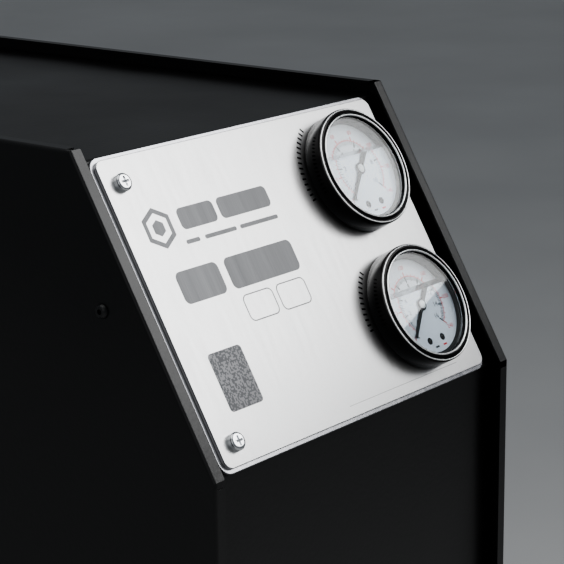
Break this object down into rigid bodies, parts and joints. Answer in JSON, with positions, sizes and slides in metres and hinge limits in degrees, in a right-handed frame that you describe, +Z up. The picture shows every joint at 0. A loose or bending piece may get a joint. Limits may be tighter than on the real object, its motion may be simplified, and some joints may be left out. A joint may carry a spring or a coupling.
{
  "type": "reverse osmosis unit",
  "caption": "Compact floor-standing reverse osmosis unit: black sheet-metal cabinet with a sloping console of two pressure gauges, prefilters, pump, membrane vessels and rear tube ports.",
  "frame": {"origin": "on the floor, under the middle of the unit's whole box", "axes": "+X to the right seen from the console, +Y to the rear, +Z up"},
  "size_m": [0.2544, 0.4934, 0.558],
  "materials": {
    "cabinet_black": "satin black powder coat",
    "fascia_steel": "finely brushed, nearly mirror bright",
    "backing_steel": "bright sheared edge",
    "bright_screw": "bright zinc",
    "black_screw": "black oxide",
    "zinc_steel": "zinc-plated sheet",
    "bezel_chrome": "polished",
    "case_steel": "drawn stainless steel",
    "gauge_glass": "clear",
    "dial_white": "matt white with printed scales",
    "pointer_black": "matt black",
    "brass": "machined",
    "rubber_black": "matt",
    "filter_blue": "moulded",
    "filter_head": "moulded black",
    "filter_white": "wound fibre",
    "filter_carbon": "pressed carbon",
    "rotor_steel": "ground",
    "motor_grey": "satin enamel",
    "fan_black": "moulded",
    "vessel_white": "smooth",
    "cap_grey": "moulded",
    "membrane_film": "wrapped film",
    "black_plastic": "moulded",
    "controller_grey": "moulded",
    "rocker_red": "moulded, plain",
    "port_white": "moulded",
    "tube_clear": "extruded"
  },
  "bodies": {
    "cabinet": {"base_pan": "cabinet_black", "left_side_panel": "cabinet_black", "right_side_panel": "cabinet_black", "wrap_panel": "cabinet_black", "rear_panel": "cabinet_black", "backing_plate": "backing_steel", "fascia_plate": "fascia_steel", "fascia_screws": "bright_screw", "cabinet_screws": "black_screw", "rubber_feet": "rubber_black", "chassis_bolts": "zinc_steel", "filter_gauge_case": "case_steel", "filter_gauge_bezel": "bezel_chrome", "filter_gauge_window": "gauge_glass", "filter_gauge_dial": "dial_white", "filter_gauge_movement": "brass", "filter_gauge_clamp": "zinc_steel", "pump_gauge_case": "case_steel", "pump_gauge_bezel": "bezel_chrome", "pump_gauge_window": "gauge_glass", "pump_gauge_dial": "dial_white", "pump_gauge_movement": "brass", "pump_gauge_clamp": "zinc_steel", "mid_plate": "zinc_steel", "filter_bracket": "zinc_steel", "membrane_rack": "zinc_steel", "vessel_clips": "cap_grey", "motor_cradle": "motor_grey", "sediment_head": "filter_head", "sediment_bowl": "filter_blue", "sediment_cartridge": "filter_white", "carbon_head": "filter_head", "carbon_bowl": "filter_blue", "carbon_cartridge": "filter_carbon", "pump_body": "brass", "motor_housing": "motor_grey", "fan_cover": "motor_grey", "left_vessel": "vessel_white", "right_vessel": "vessel_white", "vessel_caps": "cap_grey", "membrane_elements": "membrane_film", "solenoid_body": "brass", "solenoid_coil": "black_plastic", "needle_valve_body": "brass", "pressure_switches": "black_plastic", "controller_box": "controller_grey", "power_inlet": "black_plastic", "bulkhead_ports": "port_white", "tube_fittings": "port_white", "water_tubes": "tube_clear"},
    "filter_pointer": {"filter_gauge_pointer": "pointer_black"},
    "filter_sector": {"filter_gauge_sector": "brass"},
    "pump_pointer": {"pump_gauge_pointer": "pointer_black"},
    "pump_sector": {"pump_gauge_sector": "brass"},
    "drive_train": {"motor_rotor": "rotor_steel", "motor_fan": "fan_black", "pump_rotor": "rotor_steel"},
    "plunger": {"solenoid_plunger": "rotor_steel"},
    "valve_knob": {"needle_valve_knob": "black_plastic"},
    "rocker": {"rocker_switch": "rocker_red"}
  },
  "joints": [
    {"name": "filter_pointer_turn", "type": "hinge", "parent": "cabinet", "child": "filter_pointer", "pos_m": [0.069, -0.17798, 0.51579], "axis": [0, 0.8616, -0.5075], "range_deg": [0, 270], "stiffness_Nm_per_rad": 0.0004},
    {"name": "filter_sector_swing", "type": "hinge", "parent": "cabinet", "child": "filter_sector", "pos_m": [0.059, -0.17798, 0.51579], "axis": [0, -0.8616, 0.5075], "range_deg": [0, 31]},
    {"name": "pump_pointer_turn", "type": "hinge", "parent": "cabinet", "child": "pump_pointer", "pos_m": [0.069, -0.21909, 0.446], "axis": [0, 0.8616, -0.5075], "range_deg": [0, 270], "stiffness_Nm_per_rad": 0.0004},
    {"name": "pump_sector_swing", "type": "hinge", "parent": "cabinet", "child": "pump_sector", "pos_m": [0.059, -0.21909, 0.446], "axis": [0, -0.8616, 0.5075], "range_deg": [0, 31]},
    {"name": "motor_spin", "type": "hinge", "parent": "cabinet", "child": "drive_train", "pos_m": [-0.034, 0.05, 0.096], "axis": [0, 1, 0], "continuous": true},
    {"name": "plunger_lift", "type": "slide", "parent": "cabinet", "child": "plunger", "axis": [-1, 0, 0], "range_m": [0, 0.003], "stiffness_N_per_m": 300, "springref_m": -0.003},
    {"name": "needle_valve_turn", "type": "hinge", "parent": "cabinet", "child": "valve_knob", "pos_m": [0.106, 0.14967, 0.14], "axis": [0, 0, 1], "range_deg": [-360, 360]},
    {"name": "rocker_tilt", "type": "hinge", "parent": "cabinet", "child": "rocker", "pos_m": [-0.078, 0.22367, 0.1205], "axis": [0, 0, -1], "range_deg": [0, 16]}
  ],
  "couplings": [
    {"joint": "filter_sector_swing", "follows": "filter_pointer_turn", "ratio": 0.11299},
    {"joint": "pump_sector_swing", "follows": "pump_pointer_turn", "ratio": 0.11299}
  ]
}
